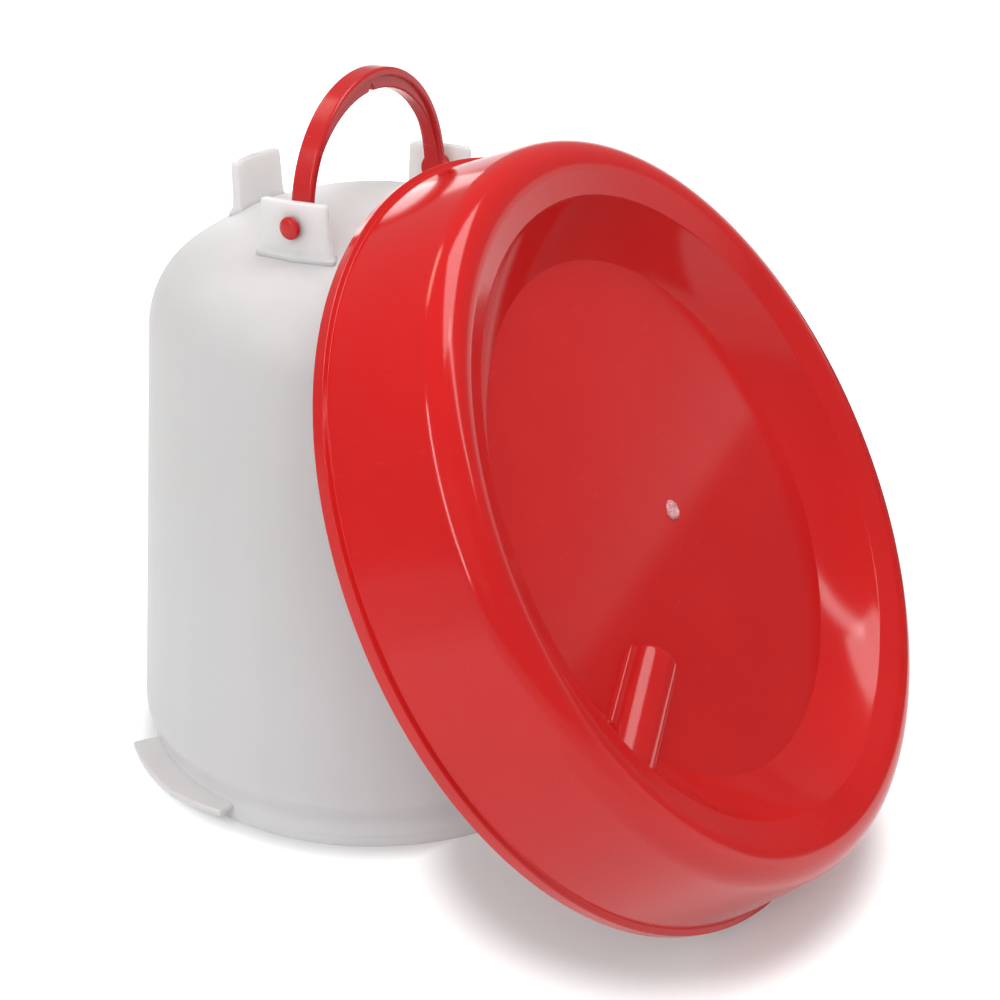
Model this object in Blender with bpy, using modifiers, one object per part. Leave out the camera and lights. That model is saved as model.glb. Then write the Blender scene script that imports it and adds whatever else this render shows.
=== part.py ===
"""Poultry drinker for about five litres, taken apart for filling.

The jar stands on its open mouth, with its carrying handle upright. The water
tray stands on its rim beside the jar and leans on it, with its underside out.
Units are metres, +Z is up, and the floor is Z = 0. Sizes below are in
millimetres and are scaled by MM.
"""
import math

import bmesh
import bpy
from mathutils import Matrix, Vector

MM = 0.001

# The jar's axis, placed so that the origin is on the floor below the middle of the whole object.
JAR_X = -58.2
JAR_Y = 20.63

# Jar: a tapered wall, a round shoulder and a dome, all of one thickness.
JAR_HEIGHT = 221.0
JAR_WALL_RADIUS = 99.5
JAR_TAPER = math.radians(5.3)
JAR_THICKNESS = 2.3
SHOULDER_RADIUS = 35.0
DOME_RADIUS = 124.0
MOUTH_RADIUS = 95.4
NECK_HEIGHT = 9.0
TUCK_HEIGHT = 20.0
JAR_STEPS = 56

# Four feet on the dome, on which the jar stands while it is filled. Two of them hold the handle.
FOOT_RADIUS = 50.5
FOOT_THICKNESS = 3.0
FOOT_BASE = 208.3
FOOT_TOP = 228.3
PLAIN_FOOT_WIDTH = 29.8
EAR_WIDTH = 27.4
FOOT_DRAFT = 1.2
FOOT_CORNER = 3.5

# Lugs at the mouth, which turn under the claws of the tray.
LUG_COUNT = 3
LUG_AZIMUTH = math.radians(-117.0)
LUG_SPAN = math.radians(41.0)
LUG_RADIUS = 104.5
LUG_BASE = 5.0
LUG_THICKNESS = 3.0

# Handle: a strap bent to half an ellipse, with a narrower rib inside it.
PIVOT_HEIGHT = 219.7
STRAP_HALF_SPAN = 48.0
STRAP_RISE = 44.3
STRAP_WIDTH = 8.0
STRAP_THICKNESS = 3.0
RIB_WIDTH = 5.4
RIB_RISE = 37.0
RIB_HALF_SPAN = 44.7
EYE_RADIUS = 5.5
EYE_OUTER = 49.9
PEG_RADIUS = 2.5
PEG_HOLE_RADIUS = 2.9
PEG_HEAD_RADIUS = 3.8
PEG_HEAD_GAP = 0.4
PEG_HEAD_HEIGHT = 2.4
NOTCH_WIDTH = 2.4
NOTCH_DEPTH = 3.0
NOTCH_OFFSET = -4.0

# Tray, seen lying flat: the foot ring is at height 0 and the rim at the top.
TRAY_HEIGHT = 43.6
RIM_RADIUS = 140.5
RIM_BAND = 4.5
RIM_STEP = 0.7
TRAY_THICKNESS = 2.6
TRAY_DRAFT = math.radians(14.5)
CORNER_RADIUS = 10.0
FOOT_SLOPE = math.radians(24.0)
INNER_EDGE_RADIUS = 109.8
INNER_CORNER_RADIUS = 3.0
RECESS_SLOPE = math.radians(50.0)
DISC_RADIUS = 92.4
DISC_HEIGHT = 19.1
SEAT_RADIUS = 97.0
SEAT_LEAD = 0.8
TRAY_STEPS = 64

# Water channel: a half-round groove that leads from under the jar to the trough.
CHANNEL_RADIUS = 9.3
CHANNEL_AXIS = 19.1
CHANNEL_START = 61.5
CHANNEL_END = 107.0
CHANNEL_AZIMUTH = math.radians(244.3)
CHANNEL_OFFSET = -6.9
GATE_RADIUS = 2.6
GATE_HEIGHT = 1.4

# Claws of the tray, which hold the jar's lugs down on the disc.
CLAW_COUNT = 3
CLAW_AZIMUTH = math.radians(13.3)
CLAW_SPAN = math.radians(14.0)
CLAW_INNER = 98.0
CLAW_POST = 106.2
CLAW_OUTER = 108.4
CLAW_LOW = 31.4
CLAW_TOP = 34.6
CLAW_FOOT = 10.1
CLAW_STEP = 0.5

# Where the tray leans: its rim's centre, the slant of its axis and the way that it faces.
TRAY_X = 109.0
TRAY_Y = -20.5
TRAY_SLANT = math.radians(33.3)
TRAY_TURN = math.radians(-3.9)
TIP_SHIFT = 4.7

ROUND_STEPS = 24


def start_scene():
    """Empty the scene and return the collections for the parts and for the cutters."""
    for obj in list(bpy.data.objects):
        bpy.data.objects.remove(obj, do_unlink=True)
    parts = bpy.data.collections.new("poultry_drinker")
    cutters = bpy.data.collections.new("cutters")
    for collection in (parts, cutters):
        bpy.context.scene.collection.children.link(collection)
    return parts, cutters


def plastic(name, colour, roughness):
    """A moulded plastic of one colour."""
    material = bpy.data.materials.new(name)
    material.use_nodes = True
    shader = material.node_tree.nodes["Principled BSDF"]
    shader.inputs["Base Color"].default_value = (*colour, 1.0)
    shader.inputs["Roughness"].default_value = roughness
    shader.inputs["Metallic"].default_value = 0.0
    return material


def arc(centre, radius, start, end, count):
    """Points on a round stretch of a profile, from one angle to the other in radians."""
    points = []
    for index in range(count + 1):
        angle = start + (end - start) * index / count
        points.append((centre[0] + radius * math.cos(angle), centre[1] + radius * math.sin(angle)))
    return points


def turned(name, profile, steps, collection):
    """Turn a profile of (radius, height) points in millimetres round the Z axis."""
    mesh = bpy.data.meshes.new(name)
    points = [(radius * MM, 0.0, height * MM) for radius, height in profile]
    edges = [(index, index + 1) for index in range(len(points) - 1)]
    mesh.from_pydata(points, edges, [])
    obj = bpy.data.objects.new(name, mesh)
    collection.objects.link(obj)
    screw = obj.modifiers.new("Turn", "SCREW")
    screw.steps = steps
    screw.render_steps = steps
    screw.use_merge_vertices = True
    screw.merge_threshold = 0.00001
    return obj


def hide_cutter(obj):
    """Mark a helper shape that only cuts or joins."""
    obj.hide_render = True
    obj.display_type = "WIRE"


def as_mesh(obj, name, collection):
    """Replace an object by a mesh of what it looks like, with its loose caps welded."""
    bpy.context.view_layer.update()
    evaluated = obj.evaluated_get(bpy.context.evaluated_depsgraph_get())
    mesh = bpy.data.meshes.new_from_object(evaluated)
    place = obj.matrix_world.copy()
    bpy.data.objects.remove(obj, do_unlink=True)
    shape = bmesh.new()
    shape.from_mesh(mesh)
    bmesh.ops.remove_doubles(shape, verts=shape.verts, dist=0.00001)
    bmesh.ops.recalc_face_normals(shape, faces=shape.faces)
    shape.to_mesh(mesh)
    shape.free()
    result = bpy.data.objects.new(name, mesh)
    result.matrix_world = place
    collection.objects.link(result)
    return result


def plate(name, outlines, thickness, place, collection):
    """A flat plate: outlines in millimetres in its own XY plane, and a place for that plane."""
    curve = bpy.data.curves.new(name, "CURVE")
    curve.dimensions = "2D"
    curve.fill_mode = "BOTH"
    curve.extrude = thickness * MM / 2
    for outline in outlines:
        spline = curve.splines.new("POLY")
        spline.points.add(len(outline) - 1)
        for point, (across, up) in zip(spline.points, outline):
            point.co = (across * MM, up * MM, 0.0, 1.0)
        spline.use_cyclic_u = True
    obj = bpy.data.objects.new(name, curve)
    obj.matrix_world = place
    collection.objects.link(obj)
    return as_mesh(obj, name, collection)


def move(x, y, z):
    """A shift in millimetres."""
    return Matrix.Translation(Vector((x, y, z)) * MM)


def turn(angle, axis):
    """A turn round a main axis through the origin."""
    return Matrix.Rotation(angle, 4, axis)


def combine(target, other, operation):
    """Cut, join or intersect the target with another shape."""
    boolean = target.modifiers.new(other.name, "BOOLEAN")
    boolean.operation = operation
    boolean.solver = "EXACT"
    boolean.object = other
    hide_cutter(other)


def sector(inner, outer, middle, span, count):
    """The outline of a piece of a flat ring, seen from above."""
    start = middle - span / 2
    end = middle + span / 2
    return arc((0, 0), outer, start, end, count) + arc((0, 0), inner, end, start, count)


def jar_profile():
    """The jar's closed profile: down the outside from the dome, and up the inside."""
    along = (-math.sin(JAR_TAPER), math.cos(JAR_TAPER))
    normal = (math.cos(JAR_TAPER), math.sin(JAR_TAPER))
    dome_centre = (0.0, JAR_HEIGHT - DOME_RADIUS)
    reach = JAR_WALL_RADIUS * normal[0] - SHOULDER_RADIUS
    start = (normal[0] * reach, normal[1] * reach - dome_centre[1])
    lead = start[0] * along[0] + start[1] * along[1]
    gap = DOME_RADIUS - SHOULDER_RADIUS
    climb = -lead + math.sqrt(lead ** 2 - start[0] ** 2 - start[1] ** 2 + gap ** 2)
    shoulder = (start[0] + along[0] * climb, start[1] + along[1] * climb + dome_centre[1])
    meet = math.atan2(shoulder[1] - dome_centre[1], shoulder[0])

    def side(inset):
        wall_radius = JAR_WALL_RADIUS - inset / normal[0] - TUCK_HEIGHT * math.tan(JAR_TAPER)
        mouth = MOUTH_RADIUS - inset
        dome = arc(dome_centre, DOME_RADIUS - inset, math.pi / 2, meet, 7)
        dome[0] = (0.0, dome[0][1])
        round_side = arc(shoulder, SHOULDER_RADIUS - inset, meet, JAR_TAPER, 9)[1:]
        tuck = []
        for part in (0.0, 0.35, 0.7, 1.0):
            ease = part * part * (3 - 2 * part)
            tuck.append((wall_radius + (mouth - wall_radius) * ease,
                         TUCK_HEIGHT + (NECK_HEIGHT - TUCK_HEIGHT) * part))
        return dome + round_side + tuck + [(mouth, 0.0)]

    return side(0.0) + side(JAR_THICKNESS)[::-1]


def foot_outline(width):
    """A foot seen from the jar's axis: a plate with a little draft and round top corners."""
    half = width / 2
    top = half - FOOT_DRAFT
    centre = FOOT_TOP - FOOT_CORNER
    outline = [(-half, FOOT_BASE), (half, FOOT_BASE)]
    outline += arc((top - FOOT_CORNER, centre), FOOT_CORNER, 0.0, math.pi / 2, 4)
    outline += arc((FOOT_CORNER - top, centre), FOOT_CORNER, math.pi / 2, math.pi, 4)
    return outline


def make_foot(name, width, azimuth, cutters):
    """One foot: a piece of a thin ring, cut to the foot's outline."""
    outer = FOOT_RADIUS + FOOT_THICKNESS
    span = 2 * math.asin((width / 2 + 4) / FOOT_RADIUS)
    ring_height = FOOT_TOP - FOOT_BASE + 10
    middle_height = (FOOT_TOP + FOOT_BASE) / 2
    ring = plate(name, [sector(FOOT_RADIUS, outer, 0.0, span, 8)], ring_height,
                 turn(azimuth, "Z") @ move(0, 0, middle_height), cutters)
    upright = turn(azimuth, "Z") @ move(outer, 0, 0) @ turn(math.pi / 2, "Z") @ turn(math.pi / 2, "X")
    outline = plate(name + "_outline", [foot_outline(width)], 30.0, upright, cutters)
    combine(ring, outline, "INTERSECT")
    return as_mesh(ring, name, cutters)


def make_reservoir(parts, cutters, material):
    """The jar with its feet, ears and lugs, one moulding."""
    jar = turned("reservoir", jar_profile(), JAR_STEPS, parts)
    quarter = math.pi / 2
    for index, width in enumerate((PLAIN_FOOT_WIDTH, EAR_WIDTH, PLAIN_FOOT_WIDTH, EAR_WIDTH)):
        foot = make_foot(f"jar_foot_{index}", width, index * quarter, cutters)
        combine(jar, foot, "UNION")
    for index in range(LUG_COUNT):
        middle = LUG_AZIMUTH + index * 2 * math.pi / LUG_COUNT
        inner = MOUTH_RADIUS - JAR_THICKNESS / 2
        lug = plate(f"jar_lug_{index}", [sector(inner, LUG_RADIUS, middle, LUG_SPAN, 10)],
                    LUG_THICKNESS, move(0, 0, LUG_BASE + LUG_THICKNESS / 2), cutters)
        combine(jar, lug, "UNION")
    near = FOOT_RADIUS - 5
    far = FOOT_RADIUS + FOOT_THICKNESS + 5
    profile = [(0, far), (PEG_HOLE_RADIUS, far), (PEG_HOLE_RADIUS, near), (0, near)]
    for index, side in enumerate((-1, 1)):
        hole = turned(f"peg_hole_{index}", profile, ROUND_STEPS, cutters)
        hole.matrix_world = move(0, 0, PIVOT_HEIGHT) @ turn(side * math.pi / 2, "X")
        combine(jar, hole, "DIFFERENCE")
    jar.data.materials.append(material)
    return finish_part(jar, parts, cutters, material, move(JAR_X, JAR_Y, 0))


def finish_part(obj, parts, cutters, material, place):
    """Settle a built shape as one mesh, shaded smooth, and set it in its place."""
    name = obj.name
    obj.name = name + "_build"
    obj.data.name = name + "_build"
    result = as_mesh(obj, name, parts)
    result.data.name = name
    result.data.transform(place @ result.matrix_world)
    result.matrix_world = Matrix.Identity(4)
    result.data.materials.clear()
    result.data.materials.append(material)
    result.data.shade_smooth()
    result.data.set_sharp_from_angle(angle=math.radians(20))
    for cutter in list(cutters.objects):
        bpy.data.objects.remove(cutter, do_unlink=True)
    return result


def half_ellipse(half_span, rise, count):
    """The upper half of an ellipse about the pivot height, from right to left."""
    points = []
    for index in range(count + 1):
        angle = math.pi * index / count
        points.append((half_span * math.cos(angle), PIVOT_HEIGHT + rise * math.sin(angle)))
    return points


def make_handle(parts, cutters, material):
    """The handle: strap, rib, eyes and pegs, one moulding."""
    upright = turn(math.pi / 2, "Z") @ turn(math.pi / 2, "X")
    inner_span = STRAP_HALF_SPAN - STRAP_THICKNESS
    inner_rise = STRAP_RISE - STRAP_THICKNESS
    strap_outline = half_ellipse(STRAP_HALF_SPAN, STRAP_RISE, 28)
    strap_outline += half_ellipse(inner_span, inner_rise, 28)[::-1]
    handle = plate("carry_handle", [strap_outline], STRAP_WIDTH, upright, parts)
    rib_outline = half_ellipse(inner_span + 0.6, inner_rise + 0.6, 28)
    rib_outline += half_ellipse(RIB_HALF_SPAN, RIB_RISE, 28)[::-1]
    rib = plate("handle_rib", [rib_outline], RIB_WIDTH, upright, cutters)
    notch_top = PIVOT_HEIGHT + RIB_RISE + NOTCH_DEPTH
    notch_outline = [(NOTCH_OFFSET - NOTCH_WIDTH, PIVOT_HEIGHT), (NOTCH_OFFSET + NOTCH_WIDTH, PIVOT_HEIGHT),
                     (NOTCH_OFFSET, notch_top)]
    notch = plate("handle_notch", [notch_outline], STRAP_WIDTH, upright, cutters)
    combine(rib, notch, "DIFFERENCE")
    rib = as_mesh(rib, "handle_rib", cutters)
    combine(handle, rib, "UNION")
    head = FOOT_RADIUS + FOOT_THICKNESS + PEG_HEAD_GAP
    eye_inner = STRAP_HALF_SPAN - STRAP_THICKNESS
    profile = [(0, head + PEG_HEAD_HEIGHT)]
    profile += [(PEG_HEAD_RADIUS * math.sin(angle), head + PEG_HEAD_HEIGHT * math.cos(angle))
                for angle in (0.45, 0.85, 1.2, math.pi / 2)]
    profile += [(PEG_RADIUS, head), (PEG_RADIUS, EYE_OUTER), (EYE_RADIUS, EYE_OUTER), (EYE_RADIUS, eye_inner),
                (0, eye_inner)]
    for index, side in enumerate((-1, 1)):
        peg = turned(f"handle_peg_{index}", profile, ROUND_STEPS, cutters)
        peg.matrix_world = move(0, 0, PIVOT_HEIGHT) @ turn(-side * math.pi / 2, "X")
        combine(handle, peg, "UNION")
    handle = finish_part(handle, parts, cutters, material, Matrix.Identity(4))
    pivot = move(0, 0, -PIVOT_HEIGHT)
    handle.data.transform(pivot)
    handle.matrix_world = move(JAR_X, JAR_Y, PIVOT_HEIGHT)
    return handle


def tray_side(inset):
    """The tray's profile from the rim down the wall, round the foot ring and up to the disc.

    The inset moves every stretch towards the water side by the wall's thickness.
    """
    fall = TRAY_HEIGHT - CORNER_RADIUS
    corner_radius = RIM_RADIUS - (CORNER_RADIUS + fall * math.sin(TRAY_DRAFT)) / math.cos(TRAY_DRAFT)
    corner = (corner_radius, CORNER_RADIUS)
    face = -math.pi / 2 - FOOT_SLOPE
    wall = -math.pi / 2 - RECESS_SLOPE
    face_foot = (corner[0] + CORNER_RADIUS * math.cos(face), corner[1] + CORNER_RADIUS * math.sin(face))
    edge = (INNER_EDGE_RADIUS, face_foot[1] + (face_foot[0] - INNER_EDGE_RADIUS) * math.tan(FOOT_SLOPE))
    reach = INNER_CORNER_RADIUS / (1 + math.cos(face - wall))
    inner = (edge[0] - reach * (math.cos(face) + math.cos(wall)), edge[1] - reach * (math.sin(face) + math.sin(wall)))
    wall_foot = (inner[0] + INNER_CORNER_RADIUS * math.cos(wall), inner[1] + INNER_CORNER_RADIUS * math.sin(wall))
    across = wall_foot[0] - DISC_RADIUS
    rise = DISC_HEIGHT - wall_foot[1]
    slope = 2 * math.atan2(rise, across) - RECESS_SLOPE
    bend = math.hypot(across, rise) / (2 * math.sin((RECESS_SLOPE - slope) / 2))
    hollow = (wall_foot[0] + bend * math.cos(wall), wall_foot[1] + bend * math.sin(wall))

    round_side = arc(corner, CORNER_RADIUS - inset, -TRAY_DRAFT, face, 7)
    round_side += arc(inner, INNER_CORNER_RADIUS - inset, face, wall, 3)
    round_side += arc(hollow, bend + inset, wall + math.pi, math.pi / 2 - slope, 5)[1:]
    lead = (TRAY_HEIGHT - round_side[0][1]) * math.tan(TRAY_DRAFT)
    rim = (round_side[0][0] + lead, TRAY_HEIGHT)
    return [rim] + round_side


def make_tray(parts, cutters, material):
    """The tray: foot ring, trough, disc, channel and claws, one moulding."""
    outside = tray_side(0.0)
    band = [(0.0, TRAY_HEIGHT), (RIM_RADIUS, TRAY_HEIGHT), (RIM_RADIUS, TRAY_HEIGHT - RIM_BAND)]
    below = outside[0][0] - RIM_STEP - (RIM_BAND + 0.6) * math.tan(TRAY_DRAFT)
    band.append((below, TRAY_HEIGHT - RIM_BAND - 0.6))
    gate = [(GATE_RADIUS, DISC_HEIGHT), (GATE_RADIUS, DISC_HEIGHT - GATE_HEIGHT), (0.0, DISC_HEIGHT - GATE_HEIGHT)]
    tray = turned("water_tray", band + outside[1:] + gate, TRAY_STEPS, parts)

    outward = turn(CHANNEL_AZIMUTH, "Z") @ move(0, CHANNEL_OFFSET, CHANNEL_AXIS) @ turn(math.pi / 2, "Y")
    solid = [(0.0, CHANNEL_END), (CHANNEL_RADIUS, CHANNEL_END), (CHANNEL_RADIUS, CHANNEL_START + 1.5),
             (CHANNEL_RADIUS - 1.5, CHANNEL_START), (0.0, CHANNEL_START)]
    bulge = turned("channel_bulge", solid, ROUND_STEPS, cutters)
    bulge.matrix_world = outward
    combine(tray, bulge, "UNION")

    inside = tray_side(TRAY_THICKNESS)
    above = TRAY_HEIGHT + 20.0
    seat = DISC_HEIGHT + TRAY_THICKNESS
    trough = [point for point in inside if point[0] > SEAT_RADIUS]
    trough.append((SEAT_RADIUS, trough[-1][1] + SEAT_LEAD))
    water = [(0.0, above), (inside[0][0], above)] + trough + [(SEAT_RADIUS, seat), (0.0, seat)]
    space = turned("water_space", water, TRAY_STEPS, cutters)
    combine(tray, space, "DIFFERENCE")

    bore = CHANNEL_RADIUS - TRAY_THICKNESS
    start = CHANNEL_START + TRAY_THICKNESS
    groove_end = CHANNEL_END + 4.0
    groove_profile = [(0.0, groove_end), (bore, groove_end), (bore, start), (0.0, start)]
    groove = turned("channel_groove", groove_profile, ROUND_STEPS, cutters)
    groove.matrix_world = outward
    combine(tray, groove, "DIFFERENCE")

    tip_span = CLAW_SPAN - 2 * CLAW_STEP / CLAW_POST
    for index in range(CLAW_COUNT):
        middle = CLAW_AZIMUTH + index * 2 * math.pi / CLAW_COUNT
        post = plate(f"claw_post_{index}", [sector(CLAW_POST, CLAW_OUTER, middle, CLAW_SPAN, 4)],
                     CLAW_TOP - CLAW_FOOT, move(0, 0, (CLAW_TOP + CLAW_FOOT) / 2), cutters)
        tip = plate(f"claw_tip_{index}", [sector(CLAW_INNER, CLAW_POST + 1.0, middle, tip_span, 4)],
                    CLAW_TOP - CLAW_LOW - 0.2, move(0, 0, (CLAW_TOP + CLAW_LOW - 0.2) / 2), cutters)
        combine(post, tip, "UNION")
        claw = as_mesh(post, f"claw_{index}", cutters)
        combine(tray, claw, "UNION")

    tray = finish_part(tray, parts, cutters, material, move(0, 0, -TRAY_HEIGHT))
    lean = turn(TRAY_TURN, "Z") @ turn(-math.pi / 2 - TRAY_SLANT, "Y")
    rim_height = RIM_RADIUS * math.cos(TRAY_SLANT)
    leaning = move(JAR_X + TRAY_X, JAR_Y + TRAY_Y, rim_height) @ lean
    tray.data.transform(leaning)
    edge = tipping_edge()
    tray.data.transform(Matrix.Translation(-edge))
    tray.matrix_world = Matrix.Translation(edge)
    return tray


def tipping_edge():
    """A point on the line that the tray tips over, just inside the lowest part of its rim.

    The point is as high above the floor as it is from the plane of the foot ring,
    so the tray lands flat on the floor when it has tipped all the way.
    """
    ahead = RIM_RADIUS * math.sin(TRAY_SLANT) + TIP_SHIFT
    rim_height = RIM_RADIUS * math.cos(TRAY_SLANT)
    foot_plane = rim_height * math.sin(TRAY_SLANT) + TRAY_HEIGHT
    height = (foot_plane - ahead * math.cos(TRAY_SLANT)) / (1 + math.sin(TRAY_SLANT))
    x = JAR_X + TRAY_X + ahead * math.cos(TRAY_TURN)
    y = JAR_Y + TRAY_Y + ahead * math.sin(TRAY_TURN)
    return Vector((x, y, height)) * MM


def main():
    parts, cutters = start_scene()
    milky = plastic("milky_polypropylene", (0.72, 0.72, 0.71), 0.4)
    red = plastic("red_polypropylene", (0.56, 0.025, 0.03), 0.25)
    bright_red = plastic("handle_red_polypropylene", (0.6, 0.035, 0.045), 0.3)
    make_reservoir(parts, cutters, milky)
    make_handle(parts, cutters, bright_red)
    make_tray(parts, cutters, red)


main()
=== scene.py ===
"""The looks of a poultry drinker that has been taken apart for filling.

A milky jar stands on its mouth with a red handle upright on its dome, and the
red water tray stands on its rim and leans on the jar. Lengths in this script
are millimetres and angles are degrees, unless a name or a comment says
otherwise. Points become metres only where a mesh is made, and shader patterns
are worked out in metres.
"""
import math

import bmesh
import bpy
import numpy as np
from mathutils import Matrix, Vector


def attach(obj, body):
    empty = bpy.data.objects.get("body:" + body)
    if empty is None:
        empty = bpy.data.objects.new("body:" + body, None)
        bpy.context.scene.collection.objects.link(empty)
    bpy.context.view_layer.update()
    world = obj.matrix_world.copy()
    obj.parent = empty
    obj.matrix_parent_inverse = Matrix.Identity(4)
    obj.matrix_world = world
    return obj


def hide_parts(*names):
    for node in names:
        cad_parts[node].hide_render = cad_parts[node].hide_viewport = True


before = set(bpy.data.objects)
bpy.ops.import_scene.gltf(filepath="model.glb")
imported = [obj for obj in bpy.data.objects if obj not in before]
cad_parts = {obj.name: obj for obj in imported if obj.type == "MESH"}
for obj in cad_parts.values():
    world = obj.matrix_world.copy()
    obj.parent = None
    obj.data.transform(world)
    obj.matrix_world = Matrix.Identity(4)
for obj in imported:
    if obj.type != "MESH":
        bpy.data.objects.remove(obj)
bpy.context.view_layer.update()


# Jar
# The water jar is one hollow moulding of milky polypropylene with no pigment: a low dome, a round
# shoulder, a wall that widens downwards and a straight neck at the open mouth. It comes matt from
# its mould, with faint flow streaks down the wall, and it is turned here from one closed line.

MILLIMETRE = 0.001
MERGE_METRES = 1e-6
CREASE = 24.0
TRIM_SHARE = 0.48
ARC_STEP = 9.0
ARC_LEAST_STEPS = 3
SUPPORT_MOST = 0.3
SUPPORT_SHARE = 0.2
SUPPORT_LEAST = 0.05
JAR_X, JAR_Y = -58.2, 20.63
JAR_HEIGHT = 221.0
JAR_TAPER = 5.3
JAR_WALL_RADIUS = 99.5
JAR_THICKNESS = 2.3
SHOULDER_RADIUS = 35.0
DOME_RADIUS = 124.0
MOUTH_RADIUS = 95.4
NECK_HEIGHT = 9.0
TUCK_HEIGHT = 20.0
LIP_STEP = 0.25
LIP_STEP_TOP = 4.9
LIP_STEP_LOW = 4.6
LIP_ROUND = 0.5
LIP_TOP = 5.2
LIP_INSIDE = 6.0
JAR_STEPS = 288
MILK_UPPER_PAINTED_DIM = ((0.625, 0.614, 0.612), (0.655, 0.645, 0.645))
MILK_LOWER_PAINTED_PALE = ((0.675, 0.662, 0.673), (0.705, 0.692, 0.703))
MILK_DOME_PAINTED_PALE = ((0.665, 0.66, 0.66), (0.70, 0.695, 0.695))
MILK_MOUTH_PAINTED_LIGHT = ((0.76, 0.75, 0.755), (0.79, 0.78, 0.785))
WALL_LIGHT_FADE_METRES = (0.0, 0.16)
DOME_LIGHT_FADE_METRES = (0.185, 0.222)
MOUTH_LIGHT_FADE_METRES = (0.004, 0.03)


def arc(middle, radius, start, end, count):
    """Points at one radius from the middle, from one angle to another, both in radians."""
    angles = np.linspace(start, end, count)
    return np.asarray(middle) + radius * np.stack([np.cos(angles), np.sin(angles)], axis=-1)


def rounded(corners):
    """A line through corners of (across, up, radius), with each corner rounded by an arc.

    The arc touches both sides at radius over the tangent of half the corner's
    angle, or just short of a side's middle if that is nearer, and its arms are
    weighted sums of its two end arms, with sines of the angle as weights. An extra
    point just outside each end of the arc keeps the flats between arcs flat
    when the surface is shaded smooth. Where corners hold arrays, with a value
    for each place along a path, so does the line.
    """
    points = [np.stack(np.broadcast_arrays(across, up), axis=-1).astype(float) for across, up, _ in corners]
    points = np.broadcast_arrays(*points)
    line = [points[0]]
    for before, here, after, (_, _, radius) in zip(points, points[1:], points[2:], corners[1:]):
        if radius == 0:
            line.append(here)
            continue
        back, ahead = before - here, after - here
        back_length = np.linalg.norm(back, axis=-1, keepdims=True)
        ahead_length = np.linalg.norm(ahead, axis=-1, keepdims=True)
        back, ahead = back / back_length, ahead / ahead_length
        half = np.arccos(np.clip((back * ahead).sum(axis=-1, keepdims=True), -1, 1)) / 2
        trim = np.minimum(radius / np.tan(half), TRIM_SHARE * np.minimum(back_length, ahead_length))
        middle = here + (back + ahead) / (2 * np.cos(half)) * trim / np.cos(half)
        start, end = here + back * trim, here + ahead * trim
        support = np.minimum(SUPPORT_MOST, SUPPORT_SHARE * trim + SUPPORT_LEAST)
        bend = math.pi - 2 * half
        steps = max(ARC_LEAST_STEPS, math.ceil(math.degrees(bend.max()) / ARC_STEP))
        angles = bend * np.linspace(0, 1, steps + 1).reshape(-1, *[1] * bend.ndim)
        arms = (start - middle) * np.sin(bend - angles) + (end - middle) * np.sin(angles)
        line.append(start + back * support)
        line.extend(middle + arms / np.sin(bend))
        line.append(end + ahead * support)
    return np.array(line + [points[-1]])


def turned(line, steps):
    """Rows of points round the Z axis, one row for each point of a line of (radius, height)."""
    angles = np.linspace(0, 2 * math.pi, steps, endpoint=False)
    radius = line[:, 0][:, None]
    height = np.broadcast_to(line[:, 1][:, None], (len(line), steps))
    return np.stack([radius * np.cos(angles), radius * np.sin(angles), height], axis=-1)


def shift(x, y, z):
    """A matrix that moves by a length along each axis."""
    return Matrix.Translation((x, y, z))


def turn(degrees, axis):
    """A matrix that turns about one axis."""
    return Matrix.Rotation(math.radians(degrees), 4, axis)


def placed(points, matrix):
    """Points moved by a matrix whose shift is in millimetres."""
    matrix = np.array(matrix)
    return np.asarray(points) @ matrix[:3, :3].T + matrix[:3, 3]


def skin(name, rows, material, body, closed=True):
    """A smooth surface over rows of points, each row as long as the next.

    Each point makes a quad with its neighbour in the row and the two points
    below them. A closed skin joins the last point of each row to the first.
    Its map runs along the rows in U and from row to row in V, in metres.
    """
    rows = np.asarray(rows, float) * MILLIMETRE
    count, width = rows.shape[:2]
    reach = width if closed else width - 1
    step = np.arange(reach)
    first = np.arange(count - 1)[:, None] * width + step
    second = np.arange(count - 1)[:, None] * width + (step + 1) % width
    corners = np.stack([first, second, second + width, first + width], axis=-1).reshape(-1)
    mesh = bpy.data.meshes.new(name)
    mesh.vertices.add(count * width)
    mesh.vertices.foreach_set("co", rows.reshape(-1))
    mesh.loops.add(len(corners))
    mesh.loops.foreach_set("vertex_index", corners.astype(np.int32))
    mesh.polygons.add(len(corners) // 4)
    mesh.polygons.foreach_set("loop_start", np.arange(0, len(corners), 4, dtype=np.int32))
    mesh.polygons.foreach_set("loop_total", np.full(len(corners) // 4, 4, dtype=np.int32))
    mesh.update(calc_edges=True)
    across = np.linalg.norm(np.diff(rows, axis=1, append=rows[:, :1]), axis=2).mean(axis=0)
    down = np.linalg.norm(np.diff(rows, axis=0), axis=2).max(axis=1)
    u = np.concatenate([[0.0], np.cumsum(across)])
    v = np.concatenate([[0.0], np.cumsum(down)])
    left = np.broadcast_to(u[step], (count - 1, reach))
    right = np.broadcast_to(u[step + 1], (count - 1, reach))
    top = np.broadcast_to(v[:-1, None], (count - 1, reach))
    low = np.broadcast_to(v[1:, None], (count - 1, reach))
    maps = np.stack([left, top, right, top, right, low, left, low], axis=-1).reshape(-1)
    mesh.uv_layers.new(name="surface").data.foreach_set("uv", maps)
    shape = bmesh.new()
    shape.from_mesh(mesh)
    bmesh.ops.remove_doubles(shape, verts=shape.verts, dist=MERGE_METRES)
    bmesh.ops.recalc_face_normals(shape, faces=shape.faces)
    shape.to_mesh(mesh)
    shape.free()
    mesh.shade_smooth()
    mesh.set_sharp_from_angle(angle=math.radians(CREASE))
    mesh.materials.append(material)
    obj = bpy.data.objects.new(name, mesh)
    bpy.context.scene.collection.objects.link(obj)
    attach(obj, body)
    return obj


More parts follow.
